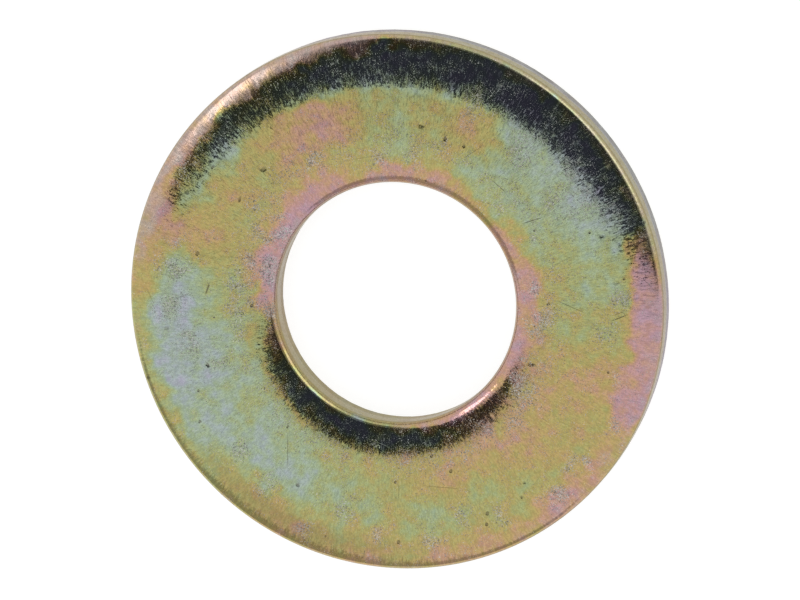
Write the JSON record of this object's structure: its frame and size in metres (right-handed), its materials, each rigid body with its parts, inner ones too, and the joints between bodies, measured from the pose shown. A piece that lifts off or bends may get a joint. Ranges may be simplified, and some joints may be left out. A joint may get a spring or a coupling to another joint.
{
  "type": "flat washer",
  "caption": "Flat steel washer with a round bore, a rounded upper rim and bore edge, and a yellow zinc finish.",
  "frame": {"origin": "on the bore axis, in the plane of the lower face, which the washer lies on", "axes": "+Z along the bore axis, from the lower face with the break-out edges to the upper face with the die rolls; X and Y are free, because the washer is round"},
  "size_m": [0.0254, 0.0254, 0.0021],
  "materials": {
    "yellow_zinc_plate": "zinc plate with an iridescent yellow chromate film, tumbled, semi-bright"
  },
  "bodies": {
    "root": {"washer": "yellow_zinc_plate"}
  },
  "joints": []
}
